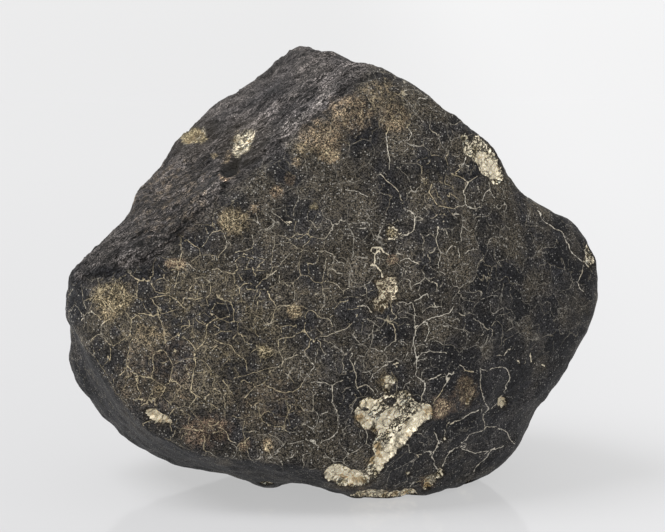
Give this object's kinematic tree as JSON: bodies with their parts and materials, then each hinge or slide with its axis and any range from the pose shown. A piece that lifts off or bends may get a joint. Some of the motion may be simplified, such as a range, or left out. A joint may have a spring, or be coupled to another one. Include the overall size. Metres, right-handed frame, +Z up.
{
  "type": "chondrite meteorite",
  "caption": "Palm-sized blunt stone with a thin dark melted crust, worn edges, thumbprint hollows and pale chips; stands on a small flat spot.",
  "frame": {"origin": "bottom centre of the stone's box, in the plane of the flat spot that it rests on", "axes": "+X along the long axis, to the right as seen from the front; +Y towards the back; +Z up"},
  "size_m": [0.0706, 0.0468, 0.0574],
  "materials": {
    "crust": "dull brown-black melted crust with a net of fine pale shrinkage cracks, rusty stains and pale grey-cream chips"
  },
  "bodies": {
    "root": {"stone": "crust"}
  },
  "joints": []
}
